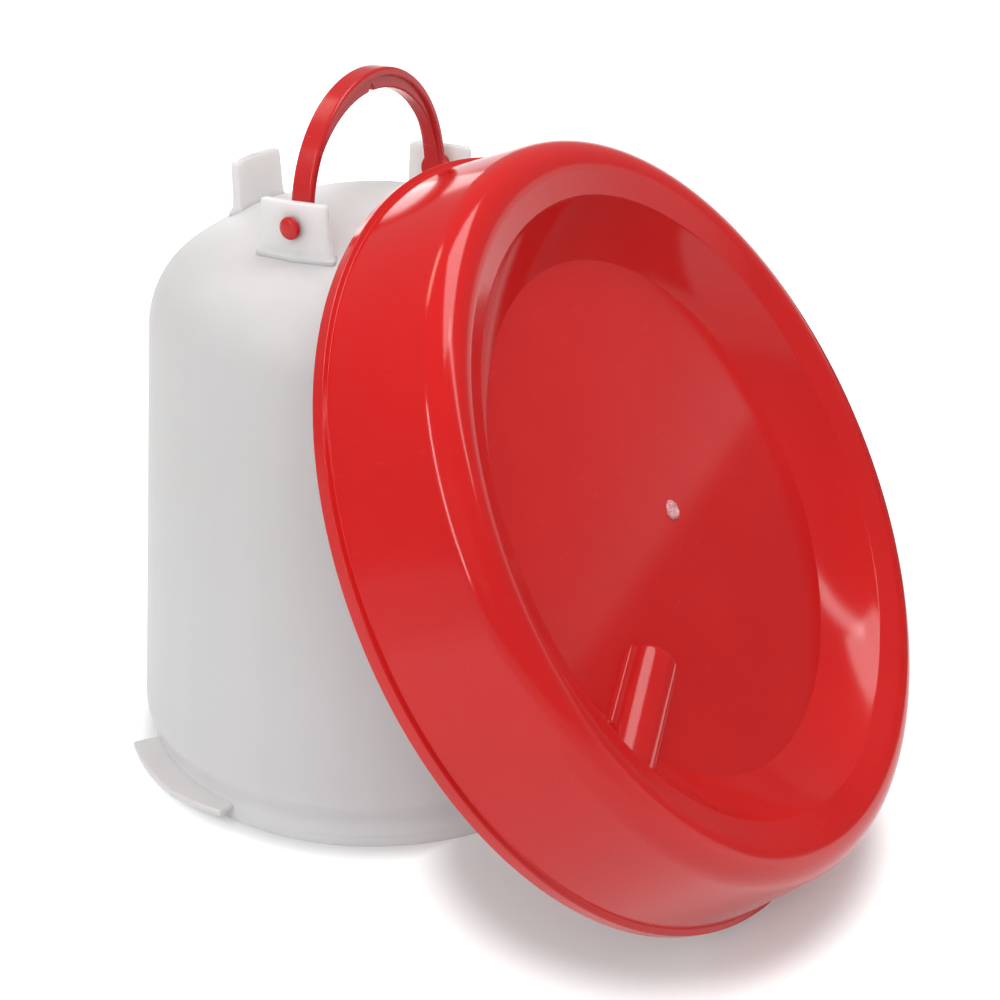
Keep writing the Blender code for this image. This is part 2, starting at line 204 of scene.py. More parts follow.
class Signal:
    """A shader socket that can be added, subtracted and multiplied like a number."""

    def __init__(self, tree, socket):
        self.tree = tree
        self.socket = socket

    def node(self, kind, inputs=None, output=0, **settings):
        """Any other node, with its settings and then its inputs, as a new signal."""
        made = self.tree.nodes.new(kind)
        for key, value in settings.items():
            setattr(made, key, value)
        for key, value in (inputs or {}).items():
            if isinstance(value, Signal):
                self.tree.links.new(value.socket, made.inputs[key])
            else:
                made.inputs[key].default_value = value
        return Signal(self.tree, made.outputs[output])

    def maths(self, operation, other, first=False):
        """A sum of numbers, or of points where the other side is a point of three numbers."""
        kind = "ShaderNodeVectorMath" if isinstance(other, tuple) else "ShaderNodeMath"
        pair = {0: other, 1: self} if first else {0: self, 1: other}
        return self.node(kind, pair, operation=operation)

    def __add__(self, other):
        return self.maths("ADD", other)

    __radd__ = __add__

    def __mul__(self, other):
        return self.maths("MULTIPLY", other)

    __rmul__ = __mul__

    def __sub__(self, other):
        return self.maths("SUBTRACT", other)

    def __rsub__(self, other):
        return self.maths("SUBTRACT", other, first=True)

    def larger(self, other):
        return self.maths("MAXIMUM", other)

    def smaller(self, other):
        return self.maths("MINIMUM", other)

    def length(self):
        """How far a point is from the origin."""
        return self.node("ShaderNodeVectorMath", {0: self}, output="Value", operation="LENGTH")

    def up(self):
        """The Z of a point."""
        return self.node("ShaderNodeSeparateXYZ", {"Vector": self}, output=2)

    def clamp(self, low, high):
        """0 at the low value and below, 1 at the high value and above, and smooth between."""
        inputs = {"Value": self, "From Min": low, "From Max": high}
        return self.node("ShaderNodeMapRange", inputs, interpolation_type="SMOOTHSTEP")

    def noise(self, scale, detail, roughness=0.5):
        """Cloudy noise round a half, with a number of waves to a metre."""
        inputs = {"Vector": self, "Scale": scale, "Detail": detail, "Roughness": roughness}
        return self.node("ShaderNodeTexNoise", inputs)

    def streaks(self, x, y, z, detail, roughness=0.5):
        """Noise with its own scale along each axis, so that it is longest along the lowest."""
        stretched = self.node("ShaderNodeMapping", {"Vector": self, "Scale": (x, y, z)})
        return stretched.noise(1.0, detail, roughness)

    def bump(self, strength, distance):
        """A normal that follows this height, where a height of 1 stands for a distance in metres."""
        inputs = {"Strength": strength, "Distance": distance, "Height": self}
        return self.node("ShaderNodeBump", inputs)

    def blend(self, low, high):
        """A colour between two colours, by this signal from 0 to 1."""
        low, high = (side if isinstance(side, Signal) else (*side, 1.0) for side in (low, high))
        return self.node("ShaderNodeMix", {0: self, 6: low, 7: high}, output=2, data_type="RGBA")


def new_material(name):
    """A material, its shader, and the signal of the object's own coordinates."""
    material = bpy.data.materials.new(name)
    material.use_nodes = True
    tree = material.node_tree
    coordinates = tree.nodes.new("ShaderNodeTexCoord")
    return material, tree.nodes["Principled BSDF"], Signal(tree, coordinates.outputs["Object"])


def feed(shader, **inputs):
    """Link signals and set constants on the shader's own sockets."""
    for name, value in inputs.items():
        socket = shader.inputs[name.replace("_", " ")]
        if isinstance(value, Signal):
            value.tree.links.new(value.socket, socket)
        else:
            socket.default_value = value


jar_place = shift(JAR_X, JAR_Y, 0)
taper = math.radians(JAR_TAPER)
wall_normal = np.array([math.cos(taper), math.sin(taper)])
wall_along = np.array([-math.sin(taper), math.cos(taper)])
dome_centre = np.array([0.0, JAR_HEIGHT - DOME_RADIUS])
shoulder_foot = wall_normal * (JAR_WALL_RADIUS * wall_normal[0] - SHOULDER_RADIUS)
from_dome = shoulder_foot - dome_centre
lead = from_dome @ wall_along
span = (DOME_RADIUS - SHOULDER_RADIUS) ** 2 - from_dome @ from_dome
shoulder_centre = shoulder_foot + wall_along * (math.sqrt(lead ** 2 + span) - lead)
dome_meet = math.atan2(shoulder_centre[1] - dome_centre[1], shoulder_centre[0])


def jar_side(inset):
    """The jar's line from the top of the dome down to the neck, moved in by an inset.

    An arc about the dome's centre runs on into an arc about the shoulder's,
    and a straight wall follows. The step 3 t squared minus 2 t cubed draws it
    in to the neck.
    """
    dome = arc(dome_centre, DOME_RADIUS - inset, math.pi / 2, dome_meet, 26)
    dome[0, 0] = 0.0
    shoulder = arc(shoulder_centre, SHOULDER_RADIUS - inset, dome_meet, taper, 20)
    wall_radius = JAR_WALL_RADIUS - inset / wall_normal[0] - TUCK_HEIGHT * math.tan(taper)
    wall_end = np.array([wall_radius, TUCK_HEIGHT])
    wall = shoulder[-1] + np.linspace(0, 1, 24)[:, None] * (wall_end - shoulder[-1])
    part = np.linspace(0, 1, 10)
    reach = wall_radius + (MOUTH_RADIUS - inset - wall_radius) * part * part * (3 - 2 * part)
    tuck = np.stack([reach, TUCK_HEIGHT + (NECK_HEIGHT - TUCK_HEIGHT) * part], axis=-1)
    return np.vstack([dome, shoulder[1:], wall[1:], tuck[1:]])


outer_side = jar_side(0.0)
inner_side = jar_side(JAR_THICKNESS)[::-1]
lip_outside = MOUTH_RADIUS - LIP_STEP
lip_inside = MOUTH_RADIUS - JAR_THICKNESS
lip = rounded([(*outer_side[-1], 0), (MOUTH_RADIUS, LIP_TOP, 0), (MOUTH_RADIUS, LIP_STEP_TOP, 0),
               (lip_outside, LIP_STEP_LOW, 0), (lip_outside, 0.0, LIP_ROUND), (lip_inside, 0.0, LIP_ROUND),
               (lip_inside, LIP_INSIDE, 0)])
jar_line = np.vstack([outer_side, lip[1:], inner_side])

milky, shader, place = new_material("milky_plastic")
height = place.up()
flow = place.streaks(60.0, 60.0, 3.0, 3.0)
scuffs = place.streaks(240.0, 240.0, 900.0, 2.0, 0.6).clamp(0.62, 0.72)
tone = (place.noise(11.0, 4.0, 0.55) * 0.5 + flow * 0.5).clamp(0.3, 0.7)
# Painted light: the colour is graded by height. The upper wall is painted dimmer, and the lower wall
# (slightly lilac) and the dome are painted paler, to even out the light and shade that fall on them.
colour = height.clamp(*WALL_LIGHT_FADE_METRES).blend(tone.blend(*MILK_LOWER_PAINTED_PALE), tone.blend(*MILK_UPPER_PAINTED_DIM))
colour = height.clamp(*DOME_LIGHT_FADE_METRES).blend(colour, tone.blend(*MILK_DOME_PAINTED_PALE))
# Painted light: the neck and lip are painted paler still, against the shade that falls on the tucked-in neck.
colour = height.clamp(*MOUTH_LIGHT_FADE_METRES).blend(tone.blend(*MILK_MOUTH_PAINTED_LIGHT), colour)
waves = place.noise(900.0, 2.0) * 0.3 + place.noise(38.0, 2.0)
feed(shader, Base_Color=colour, Roughness=0.36 + flow * 0.08 + scuffs * 0.12, Normal=waves.bump(0.12, 0.0004),
     Subsurface_Weight=0.22, Subsurface_Radius=(0.02, 0.018, 0.016), Subsurface_Scale=0.4, IOR=1.46,
     Specular_IOR_Level=0.32)

jar = skin("jar_shell", placed(turned(jar_line, JAR_STEPS), jar_place), milky, "jar")
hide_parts("reservoir")


# Feet and ears of the jar
# Four upright tabs on the dome, moulded with it and bent to a circle round its axis, on which the jar
# stands when it is filled. The two on the handle's axis are its ears, with a hole for a peg. They are
# thin and free on both sides, so light from behind comes through them, and they are also painted paler
# than the jar's wall as painted light.

FOOT_RADIUS = 50.5
FOOT_THICKNESS = 3.0
FOOT_TOP = 228.3
FOOT_BURIED = 206.5
FOOT_LOWER_END = 214.0
FOOT_UPPER_START = 215.0
PLAIN_FOOT_WIDTH = 29.8
EAR_WIDTH = 27.4
FOOT_DRAFT = 1.2
FOOT_CORNER = 1.8
FOOT_EDGE_ROUND = 0.8
FOOT_FLARE = 1.3
FOOT_FLARE_HEIGHT = 0.9
SQUARENESS = 0.13
PIVOT_HEIGHT = 219.7
PEG_HOLE_RADIUS = 2.9
HOLE_SPARE = 6.0
MILK_THIN_PAINTED_PALE = ((0.72, 0.716, 0.716), (0.77, 0.766, 0.766))


def capped(rows):
    """Rows with both ends closed, by drawing each end row in to its middle."""
    first, last = (np.broadcast_to(row.mean(axis=0), row.shape) for row in (rows[0], rows[-1]))
    return np.concatenate([first[None], rows, last[None]])


def tab(width):
    """Rows up a tab, each a squarish oblong that is bent to the circle of the feet.

    Along and through the tab, a point is a low power of the angle's cosine and
    sine, times the half width and the half thickness there. Both shrink over
    the top edge as a quarter circle does, the width also by the draft, and
    both flare at the dome by a falling exponential of the height over it.
    """
    corner_start = FOOT_TOP - FOOT_CORNER
    over = np.sin(np.linspace(0, math.pi / 2, 15)[1:])
    z = np.concatenate([np.linspace(FOOT_BURIED, FOOT_LOWER_END, 16),
                        np.linspace(FOOT_UPPER_START, corner_start, 8),
                        FOOT_TOP - FOOT_CORNER * (1 - over)])[:, None]
    in_corner = np.maximum(0.0, z - corner_start)
    half = width / 2 - FOOT_DRAFT * (z - FOOT_BURIED) / (FOOT_TOP - FOOT_BURIED)
    half = half - FOOT_CORNER + np.sqrt(np.maximum(FOOT_CORNER ** 2 - in_corner ** 2, 0.0))
    in_edge = np.maximum(0.0, z - (FOOT_TOP - FOOT_EDGE_ROUND))
    deep = FOOT_THICKNESS / 2 - FOOT_EDGE_ROUND
    deep = deep + np.sqrt(np.maximum(FOOT_EDGE_ROUND ** 2 - in_edge ** 2, 0.0))
    dome_height = dome_centre[1] + math.sqrt(DOME_RADIUS ** 2 - FOOT_RADIUS ** 2)
    flare = FOOT_FLARE * np.exp(-np.maximum(z - dome_height, 0.0) / FOOT_FLARE_HEIGHT)
    angles = np.linspace(0, 2 * math.pi, 72, endpoint=False)
    along = np.sign(np.cos(angles)) * np.abs(np.cos(angles)) ** SQUARENESS * (half + flare)
    through = np.sign(np.sin(angles)) * np.abs(np.sin(angles)) ** SQUARENESS * (deep + flare)
    reach = FOOT_RADIUS + FOOT_THICKNESS / 2 + through
    swing = along / FOOT_RADIUS
    heights = np.broadcast_to(z, reach.shape)
    return capped(np.stack([reach * np.cos(swing), reach * np.sin(swing), heights], axis=-1))


def cut_away(obj, cutter):
    """Take the cutter's space out of a piece for good, and drop the cutter."""
    cut = obj.modifiers.new("cut", "BOOLEAN")
    cut.operation = "DIFFERENCE"
    cut.solver = "EXACT"
    cut.object = cutter
    bpy.context.view_layer.update()
    evaluated = obj.evaluated_get(bpy.context.evaluated_depsgraph_get())
    finished = bpy.data.meshes.new_from_object(evaluated)
    obj.modifiers.clear()
    obj.data = finished
    finished.set_sharp_from_angle(angle=math.radians(CREASE))
    bpy.data.objects.remove(cutter)


# Painted light: the tabs' colour is paler than the jar's wall, which brightens them beyond the light that
# comes through them.
thin_milky, shader, place = new_material("thin_milky_plastic")
tone = place.noise(30.0, 3.0).clamp(0.3, 0.7)
feed(shader, Base_Color=tone.blend(*MILK_THIN_PAINTED_PALE), Roughness=0.38 + tone * 0.06,
     Normal=place.noise(700.0, 2.0).bump(0.1, 0.0003), Subsurface_Weight=1.0,
     Subsurface_Radius=(0.02, 0.019, 0.018), Subsurface_Scale=0.5, Specular_IOR_Level=0.3)

hole_start = FOOT_RADIUS - HOLE_SPARE
hole_end = FOOT_RADIUS + FOOT_THICKNESS + HOLE_SPARE
hole_line = np.array([(0, hole_start), (PEG_HOLE_RADIUS, hole_start), (PEG_HOLE_RADIUS, hole_end),
                      (0, hole_end)])
for number, width in enumerate((PLAIN_FOOT_WIDTH, EAR_WIDTH, PLAIN_FOOT_WIDTH, EAR_WIDTH)):
    outwards = jar_place @ turn(90 * number, "Z")
    foot = skin(f"jar_tab_{number}", placed(tab(width), outwards), thin_milky, "jar")
    if width == EAR_WIDTH:
        through_ear = outwards @ shift(0, 0, PIVOT_HEIGHT) @ turn(90, "Y")
        hole = skin(f"peg_hole_{number}", placed(turned(hole_line, 40), through_ear), milky, "jar")
        cut_away(foot, hole)


# Lugs of the jar
# Three ledges round the mouth, moulded with the jar, that turn under the tray's claws. They are a third
# of a turn apart, and each grows narrower towards its leading end.

LUG_AZIMUTH = -114.4
LUG_SPAN = 35.8
LUG_REACH = 10.2
LUG_LEAD_REACH = 6.1
LUG_LEAD_START = 0.62
LUG_BASE = 5.0
LUG_TOP = 8.0
LUG_BURIED = 1.2
LUG_END_ROUND = 0.7
LUG_EDGE_ROUND = 0.9
LUG_END_THICKNESS = 0.2


def swept(line, degrees):
    """Rows of a line of (radius, height) carried round the Z axis, one row for each angle."""
    line = np.broadcast_to(line, (len(degrees), *line.shape[-2:]))
    angles = np.radians(degrees)[:, None]
    return np.stack([line[..., 0] * np.cos(angles), line[..., 0] * np.sin(angles), line[..., 1]], axis=-1)


def lug(azimuth):
    """Rows along a lug, each a rounded oblong from inside the wall to the lug's reach.

    The reach falls in a straight line over the leading part, and both ends
    close with a quarter circle.
    """
    part = np.linspace(0, 1, 60)
    from_end = np.minimum(part, 1 - part) * LUG_SPAN
    close = np.sqrt(np.maximum(1 - np.maximum(1 - from_end / LUG_END_ROUND, 0.0) ** 2, 0.0))
    lead_part = np.maximum(0.0, (part - LUG_LEAD_START) / (1 - LUG_LEAD_START))
    edge = MOUTH_RADIUS + (LUG_REACH + (LUG_LEAD_REACH - LUG_REACH) * lead_part) * close
    inner = MOUTH_RADIUS - LUG_BURIED
    middle = (LUG_BASE + LUG_TOP) / 2
    thick = (LUG_TOP - LUG_BASE) / 2 * (LUG_END_THICKNESS + (1 - LUG_END_THICKNESS) * close)
    outline = rounded([(inner, middle + thick, 0), (edge, middle + thick, LUG_EDGE_ROUND),
                       (edge, middle - thick, LUG_EDGE_ROUND), (inner, middle - thick, 0)])
    return capped(swept(outline.swapaxes(0, 1), azimuth + LUG_SPAN * (part - 0.5)))


for number in range(3):
    ledge = skin(f"jar_lug_{number}", placed(lug(LUG_AZIMUTH + 120 * number), jar_place), milky, "jar")


# Handle
# One moulding of red polypropylene, dyed through: a strap bent to half an ellipse, with a rib inside it
# that deepens towards the crown and a small notch there. An eye at each foot carries a peg with a domed
# head, which snaps into the ear's hole.

STRAP_HALF_SPAN = 48.0
STRAP_RISE = 44.3
STRAP_WIDTH = 8.0
STRAP_THICKNESS = 3.0
STRAP_OUTER_ROUND = 1.1
STRAP_INNER_ROUND = 0.8
RIB_WIDTH = 5.4
RIB_DEPTH = 4.3
RIB_LEAST = 0.02
RIB_GROWTH = 1.2
RIB_ROUND = 0.7
RIB_FILLET = 0.3
NOTCH_ANGLE = 95.0
NOTCH_HALF_ANGLE = 2.6
NOTCH_DEPTH = 2.6
EYE_RADIUS = 5.5
EYE_OUTER = 49.9
EYE_INNER_ROUND = 0.7
EYE_OUTER_ROUND = 0.5
PEG_BURIED = 1.0
PEG_RADIUS = 2.5
PEG_HEAD_RADIUS = 3.9
PEG_HEAD_START = 53.9
PEG_HEAD_HEIGHT = 2.4
PEG_HEAD_CHAMFER = 0.3
PEG_HEAD_SIDE = 0.5
HANDLE_DEEP = (0.52, 0.014, 0.016)
HANDLE_BRIGHT = (0.58, 0.020, 0.022)
RED_WORN = (0.52, 0.16, 0.15)


def red_plastic(name, deep, bright, gloss, haze):
    """Glossy red plastic. Slow waves bend its reflections, and use has left hair scratches and a film."""
    material, shader, place = new_material(name)
    film = place.noise(6.0, 3.0, 0.6).clamp(0.4, 0.75)
    along = place.streaks(1800.0, 90.0, 260.0, 2.0).clamp(0.66, 0.74)
    across = place.streaks(120.0, 1500.0, 200.0, 2.0).clamp(0.67, 0.75)
    scratches = along.larger(across)
    colour = place.noise(14.0, 4.0).clamp(0.25, 0.75).blend(deep, bright)
    worn = (film * haze + scratches * 0.05).blend(colour, RED_WORN)
    waves = place.noise(26.0, 2.0, 0.45) + place.noise(420.0, 2.0) * 0.05
    feed(shader, Base_Color=worn, Roughness=gloss + film * 0.07 + scratches * 0.1,
         Normal=waves.bump(0.1, 0.0005), IOR=1.49, Specular_IOR_Level=0.32)
    return material


handle_red = red_plastic("handle_plastic", HANDLE_DEEP, HANDLE_BRIGHT, 0.2, 0.05)
pivot_place = jar_place @ shift(0, 0, PIVOT_HEIGHT)

# A profile carried along the ellipse: across the strap, and down the ellipse's normal at each angle
degrees = np.linspace(0, 180, 181)
cosine, sine = np.cos(np.radians(degrees)), np.sin(np.radians(degrees))
outwards = np.stack([cosine / STRAP_HALF_SPAN, sine / STRAP_RISE], axis=-1)
outwards /= np.linalg.norm(outwards, axis=-1, keepdims=True)
ellipse = np.stack([STRAP_HALF_SPAN * cosine, STRAP_RISE * sine], axis=-1)
notch = np.maximum(0.0, 1 - np.abs(degrees - NOTCH_ANGLE) / NOTCH_HALF_ANGLE)
rib = STRAP_THICKNESS + np.maximum(RIB_DEPTH * sine ** RIB_GROWTH - NOTCH_DEPTH * notch, RIB_LEAST)
half, thin = STRAP_WIDTH / 2, RIB_WIDTH / 2
profile = rounded([(0, 0, 0), (half, 0, STRAP_OUTER_ROUND), (half, -STRAP_THICKNESS, STRAP_INNER_ROUND),
                   (thin, -STRAP_THICKNESS, RIB_FILLET), (thin, -rib, RIB_ROUND), (-thin, -rib, RIB_ROUND),
                   (-thin, -STRAP_THICKNESS, RIB_FILLET), (-half, -STRAP_THICKNESS, STRAP_INNER_ROUND),
                   (-half, 0, STRAP_OUTER_ROUND), (0, 0, 0)]).swapaxes(0, 1)
on_arch = ellipse[:, None] + profile[..., 1:] * outwards[:, None]
rows = np.concatenate([profile[..., :1], on_arch], axis=-1)
arch = skin("handle_arch", placed(rows, pivot_place), handle_red, "handle")
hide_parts("carry_handle")

eye_inner = STRAP_HALF_SPAN - STRAP_THICKNESS
eye_line = rounded([(0, eye_inner, 0), (EYE_RADIUS, eye_inner, EYE_INNER_ROUND),
                    (EYE_RADIUS, EYE_OUTER, EYE_OUTER_ROUND), (0, EYE_OUTER, 0)])
peg_start = EYE_OUTER - PEG_BURIED
peg_head = arc((0, 0), 1.0, 0, math.pi / 2, 10) * (PEG_HEAD_RADIUS, PEG_HEAD_HEIGHT - PEG_HEAD_SIDE)
peg_line = np.vstack([[(0, peg_start), (PEG_RADIUS, peg_start), (PEG_RADIUS, PEG_HEAD_START),
                       (PEG_HEAD_RADIUS - PEG_HEAD_CHAMFER, PEG_HEAD_START),
                       (PEG_HEAD_RADIUS, PEG_HEAD_START + PEG_HEAD_CHAMFER)],
                      peg_head + (0, PEG_HEAD_START + PEG_HEAD_SIDE)])
for number, side in enumerate((-1, 1)):
    along_axis = pivot_place @ turn(-90 * side, "X")
    eye = skin(f"handle_eye_{number}", placed(turned(eye_line, 64), along_axis), handle_red, "handle")
    peg = skin(f"handle_peg_{number}", placed(turned(peg_line, 48), along_axis), handle_red, "handle")


# Water tray
# One glossy moulding of red polypropylene, turned from one closed line: a rim with a small band, a
# drafted wall, a round corner, a foot ring with a face that slopes inwards, a hollow recess wall and a
# flat disc. The line is written as the tray lies flat, with its foot ring at height 0.

TRAY_HEIGHT = 43.6
RIM_RADIUS = 140.5
RIM_BAND = 4.5
RIM_STEP = 0.8
RIM_ROUND = 0.6
BAND_ROUND = 0.5
BAND_SLOPE = 0.3
BAND_FILLET = 0.35
TRAY_THICKNESS = 2.6
TRAY_DRAFT = 14.5
CORNER_RADIUS = 10.0
FOOT_SLOPE = 24.0
INNER_EDGE_RADIUS = 109.8
INNER_CORNER_RADIUS = 3.0
RECESS_SLOPE = 50.0
DISC_RADIUS = 92.4
DISC_HEIGHT = 19.1
DISC_RINGS = (80, 60, 40, 20, 6, 0)
SEAT_RADIUS = 97.0
SEAT_RINGS = (0, 20, 40, 60)
SEAT_FLAT = 80
SEAT_FILLET = 0.3
SEAT_ROUND = 0.4
FLAT_MARGIN = 0.5
TRAY_X, TRAY_Y = 109.0, -20.5
TRAY_SLANT = 33.3
TRAY_TURN = -3.9
TRAY_STEPS = 432
TRAY_DEEP = (0.575, 0.0095, 0.0095)
TRAY_BRIGHT = (0.63, 0.012, 0.0115)

rim_height = RIM_RADIUS * math.cos(math.radians(TRAY_SLANT))
tray_place = jar_place @ shift(TRAY_X, TRAY_Y, rim_height) @ turn(TRAY_TURN, "Z")
tray_place = tray_place @ turn(-90 - TRAY_SLANT, "Y") @ shift(0, 0, -TRAY_HEIGHT)

# The corner's circle touches the drafted wall, the foot's face leaves it at its slope, and the recess
# wall is an arc that leaves the inner edge's circle at the recess's slope and ends at the disc's edge
draft = math.radians(TRAY_DRAFT)
foot_slope = math.radians(FOOT_SLOPE)
recess_slope = math.radians(RECESS_SLOPE)
wall_drop = TRAY_HEIGHT - CORNER_RADIUS
corner_inset = (CORNER_RADIUS + wall_drop * math.sin(draft)) / math.cos(draft)
corner_middle = np.array([RIM_RADIUS - corner_inset, CORNER_RADIUS])
foot_normal = np.array([-math.sin(foot_slope), -math.cos(foot_slope)])
recess_normal = np.array([-math.sin(recess_slope), -math.cos(recess_slope)])
face_start = corner_middle + CORNER_RADIUS * foot_normal
edge_point = face_start + (face_start[0] - INNER_EDGE_RADIUS) * np.array([-1, math.tan(foot_slope)])
fillet = INNER_CORNER_RADIUS / (1 + math.cos(recess_slope - foot_slope))
edge_middle = edge_point - fillet * (foot_normal + recess_normal)
recess_start = edge_middle + INNER_CORNER_RADIUS * recess_normal
to_disc = np.array([DISC_RADIUS, DISC_HEIGHT]) - recess_start
disc_slope = 2 * math.atan2(to_disc[1], -to_disc[0]) - recess_slope
recess_radius = np.linalg.norm(to_disc) / (2 * math.sin((recess_slope - disc_slope) / 2))
recess_middle = recess_start + recess_radius * recess_normal


def recess_arc(inset, count):
    """The hollow recess wall, an arc from the foot ring's inner edge to the edge of the disc."""
    quarter = math.pi / 2
    return arc(recess_middle, recess_radius + inset, quarter - recess_slope, quarter - disc_slope, count)


def foot_ring(inset):
    """The foot ring: the corner's arc, a straight face, and the inner edge's arc.

    An extra point near each end of the face keeps it flat in smooth shading.
    """
    face_angle = -math.pi / 2 - foot_slope
    recess_angle = -math.pi / 2 - recess_slope
    outer = arc(corner_middle, CORNER_RADIUS - inset, -draft, face_angle, 22)
    inner = arc(edge_middle, INNER_CORNER_RADIUS - inset, face_angle, recess_angle, 9)
    margin = FLAT_MARGIN * (inner[0] - outer[-1]) / np.linalg.norm(inner[0] - outer[-1])
    return np.vstack([outer, outer[-1] + margin, inner[0] - margin, inner])


outer_ring = foot_ring(0.0)
inner_ring = foot_ring(TRAY_THICKNESS)
rim_middle = RIM_RADIUS - TRAY_THICKNESS / 2
band_foot = TRAY_HEIGHT - RIM_BAND
wall_radius = RIM_RADIUS - RIM_STEP - RIM_BAND * math.tan(draft)
rim_outside = rounded([(rim_middle, TRAY_HEIGHT, 0), (RIM_RADIUS, TRAY_HEIGHT, RIM_ROUND),
                       (RIM_RADIUS, band_foot, BAND_ROUND),
                       (wall_radius, band_foot - BAND_SLOPE, BAND_FILLET), (*outer_ring[0], 0)])
inside_top = inner_ring[0] + (TRAY_HEIGHT - inner_ring[0][1]) * np.array([math.tan(draft), 1])
rim_inside = rounded([(*inner_ring[0], 0), (*inside_top, RIM_ROUND), (rim_middle, TRAY_HEIGHT, 0)])
trough = recess_arc(TRAY_THICKNESS, 14)
trough = trough[trough[:, 0] > SEAT_RADIUS + FLAT_MARGIN]
seat_height = DISC_HEIGHT + TRAY_THICKNESS
seat_foot = trough[-1][1] + SEAT_FILLET
seat_edge = rounded([(*trough[-1], 0), (SEAT_RADIUS, seat_foot, SEAT_FILLET),
                     (SEAT_RADIUS, seat_height, SEAT_ROUND), (SEAT_FLAT, seat_height, 0)])
disc = [(radius, DISC_HEIGHT) for radius in DISC_RINGS]
seat = [(radius, seat_height) for radius in SEAT_RINGS]
tray_line = np.vstack([rim_outside, outer_ring[1:], recess_arc(0.0, 18)[1:], disc, seat, seat_edge[::-1],
                       trough[::-1][1:], inner_ring[::-1][1:], rim_inside[1:]])

tray_red = red_plastic("tray_plastic", TRAY_DEEP, TRAY_BRIGHT, 0.12, 0.02)
tray = skin("tray_bowl", placed(turned(tray_line, TRAY_STEPS), tray_place), tray_red, "tray")
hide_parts("water_tray")


# Water channel of the tray
# A half-round bulge, moulded in the disc and the recess, with a groove behind it that leads water from
# under the jar to the trough. Its end is rounded off, and a small fillet runs along each side.

CHANNEL_RADIUS = 9.3
CHANNEL_START = 61.5
CHANNEL_END = 107.0
CHANNEL_AZIMUTH = 244.3
CHANNEL_OFFSET = -6.9
CHANNEL_LIFT = 0.02
CHANNEL_FILLET = 0.9
CHANNEL_END_ROUND = 2.0
CHANNEL_STRAIGHT_START = 4.0
GROOVE_SPARE = 4.0
GROOVE_FLOOR_MARGIN = 1.0
channel_place = tray_place @ turn(CHANNEL_AZIMUTH, "Z") @ shift(0, CHANNEL_OFFSET, DISC_HEIGHT + CHANNEL_LIFT)


def bulge_rows(along, radius):
    """Rows across the bulge, for a place along it and a half width in each row.

    Across a row run a quarter circle of fillet, a half ellipse below it that
    is as wide as the row and as deep as its half width less the fillet, and
    the fillet again, mirrored.
    """
    radius = radius[:, None]
    down = np.linspace(math.pi / 2, 0, 7)
    under = np.linspace(math.pi, 2 * math.pi, 41)[1:-1]
    side = radius + CHANNEL_FILLET * (1 - np.cos(down))
    side_depth = np.broadcast_to(-CHANNEL_FILLET * (1 - np.sin(down)), side.shape)
    depth = -CHANNEL_FILLET + (radius - CHANNEL_FILLET) * np.sin(under)
    across = np.hstack([-side, radius * np.cos(under), side[:, ::-1]])
    depths = np.hstack([side_depth, depth, side_depth[:, ::-1]])
    return np.stack([np.broadcast_to(along[:, None], across.shape), across, depths], axis=-1)


in_end = np.linspace(0, math.pi / 2, 9)
straight = np.linspace(CHANNEL_START + CHANNEL_STRAIGHT_START, CHANNEL_END, 12)
along = np.concatenate([CHANNEL_START + CHANNEL_END_ROUND * (1 - np.cos(in_end)), straight])
end_radius = CHANNEL_RADIUS - CHANNEL_END_ROUND * (1 - np.sin(in_end))
rows = bulge_rows(along, np.concatenate([end_radius, np.full(len(straight), CHANNEL_RADIUS)]))
cap = rows[:1] * (1.0, 0.0, 0.5)
rows = np.concatenate([cap, rows])
bulge = skin("tray_channel", placed(rows, channel_place), tray_red, "tray", closed=False)

# The groove is cut through the disc, and its half-round floor runs on inside the bulge
groove_radius = CHANNEL_RADIUS - TRAY_THICKNESS
groove_start = CHANNEL_START + TRAY_THICKNESS
groove_end = CHANNEL_END + GROOVE_SPARE
groove_line = np.array([(0, groove_start), (groove_radius, groove_start), (groove_radius, groove_end),
                        (0, groove_end)])
along_channel = channel_place @ turn(90, "Y")
groove = skin("groove_space", placed(turned(groove_line, 64), along_channel), tray_red, "tray")
cut_away(tray, groove)
half_round = arc((0, 0), groove_radius, math.pi, 2 * math.pi, 33)
floor_end = CHANNEL_END - GROOVE_FLOOR_MARGIN
rows = [np.insert(half_round * size, 0, place_along, axis=1)
        for place_along, size in ((groove_start, 0.01), (groove_start, 1.0), (floor_end, 1.0))]
groove_floor = skin("tray_groove", placed(rows, channel_place), tray_red, "tray", closed=False)


# Gate mark of the tray
# A low crater in the middle of the disc, left where the moulding's sprue was twisted off. The red
# plastic is stretched there, so it is pale and rough.

GATE_RADIUS = 3.4
GATE_DEEP = (0.62, 0.16, 0.17)
GATE_PALE = (0.86, 0.58, 0.60)
GATE_RINGS = ((1.0, -0.05), (0.96, 0.5), (0.86, 1.0), (0.7, 1.35),
              (0.52, 1.2), (0.3, 0.7), (0.12, 0.9), (0.0, 1.0))

torn, shader, place = new_material("gate_plastic")
shreds = place.noise(1400.0, 4.0, 0.6)
feed(shader, Base_Color=shreds.clamp(0.35, 0.65).blend(GATE_DEEP, GATE_PALE), Roughness=0.42 + shreds * 0.2,
     Normal=shreds.bump(0.8, 0.0004))

# Rings of (share of the radius, height over the disc), made ragged by slow sines of the angle
angles = np.linspace(0, 2 * math.pi, 40, endpoint=False)
share, high = np.array(GATE_RINGS).T[..., None]
reach = GATE_RADIUS * share * (1 + 0.07 * np.sin(3 * angles + 1.0) + 0.04 * np.sin(7 * angles))
lift = high * (1 + 0.25 * np.sin(2 * angles + 0.6) * (share > 0))
rows = np.stack([reach * np.cos(angles), reach * np.sin(angles), DISC_HEIGHT - lift], axis=-1)
gate = skin("tray_gate_mark", placed(rows, tray_place), torn, "tray")


# Claws of the tray
# Three hooks, moulded with the tray, that stand in the trough and lean in over the seat, to hold the
# jar's lugs down.

